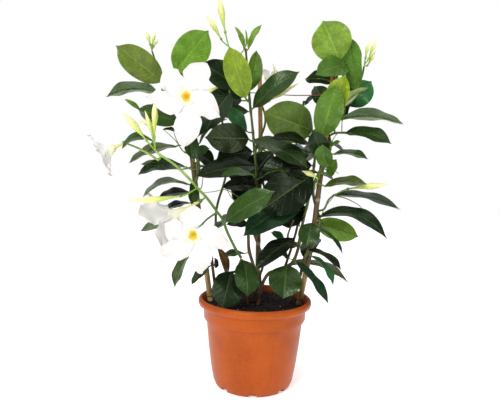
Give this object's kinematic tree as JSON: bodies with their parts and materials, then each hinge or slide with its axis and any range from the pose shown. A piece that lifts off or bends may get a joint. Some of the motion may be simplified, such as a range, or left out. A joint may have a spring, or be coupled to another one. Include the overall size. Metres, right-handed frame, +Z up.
{
  "type": "potted mandevilla",
  "caption": "Twining vine with glossy oval leaves, white funnel flowers with yellow throats and furled buds, tied to bamboo canes in a tapered plastic nursery pot.",
  "frame": {"origin": "on the ground, at the centre of the pot's flat foot, on the pot's axis", "axes": "+Z up along the pot's axis and the plant's height, -Y towards the viewer, +X to the viewer's right"},
  "size_m": [0.4567, 0.2502, 0.5869],
  "materials": {
    "pot_plastic": "satin terracotta-coloured plastic",
    "potting_mix": "dark, crumbly and damp",
    "bamboo": "dry tan bamboo, slightly glossy",
    "string": "thin reddish-brown string",
    "foliage": "waxy dark green leaves on brown-green stems",
    "green_shoot": "smooth bright green stalk",
    "petal": "soft white petals with a yellow throat",
    "bud": "furled cream-yellow buds"
  },
  "bodies": {
    "root": {"pot": "pot_plastic", "soil": "potting_mix", "cane_left": "bamboo", "cane_centre": "bamboo", "cane_right": "bamboo", "tie_string": "string", "stem_left": "foliage", "stem_right": "foliage", "stem_centre_left": "foliage", "stem_centre_right": "foliage", "stem_base_front": "foliage", "stem_back_centre": "foliage", "stem_back_left": "foliage", "stem_back_right": "foliage", "flowering_shoot": "green_shoot", "bloom_a_stalk": "green_shoot", "bloom_e_stalk": "green_shoot", "bloom_a": "petal", "bloom_b": "petal", "bloom_c": "petal", "bloom_d": "petal", "bloom_e": "petal", "bud_spray_top_left": "bud", "bud_spray_top": "bud", "bud_spray_left": "bud", "bud_long_left": "bud", "bud_spray_top_right": "bud", "bud_right_low": "bud", "bud_right_inner": "bud", "bud_spray_centre": "bud", "bud_left_inner": "bud"}
  },
  "joints": []
}
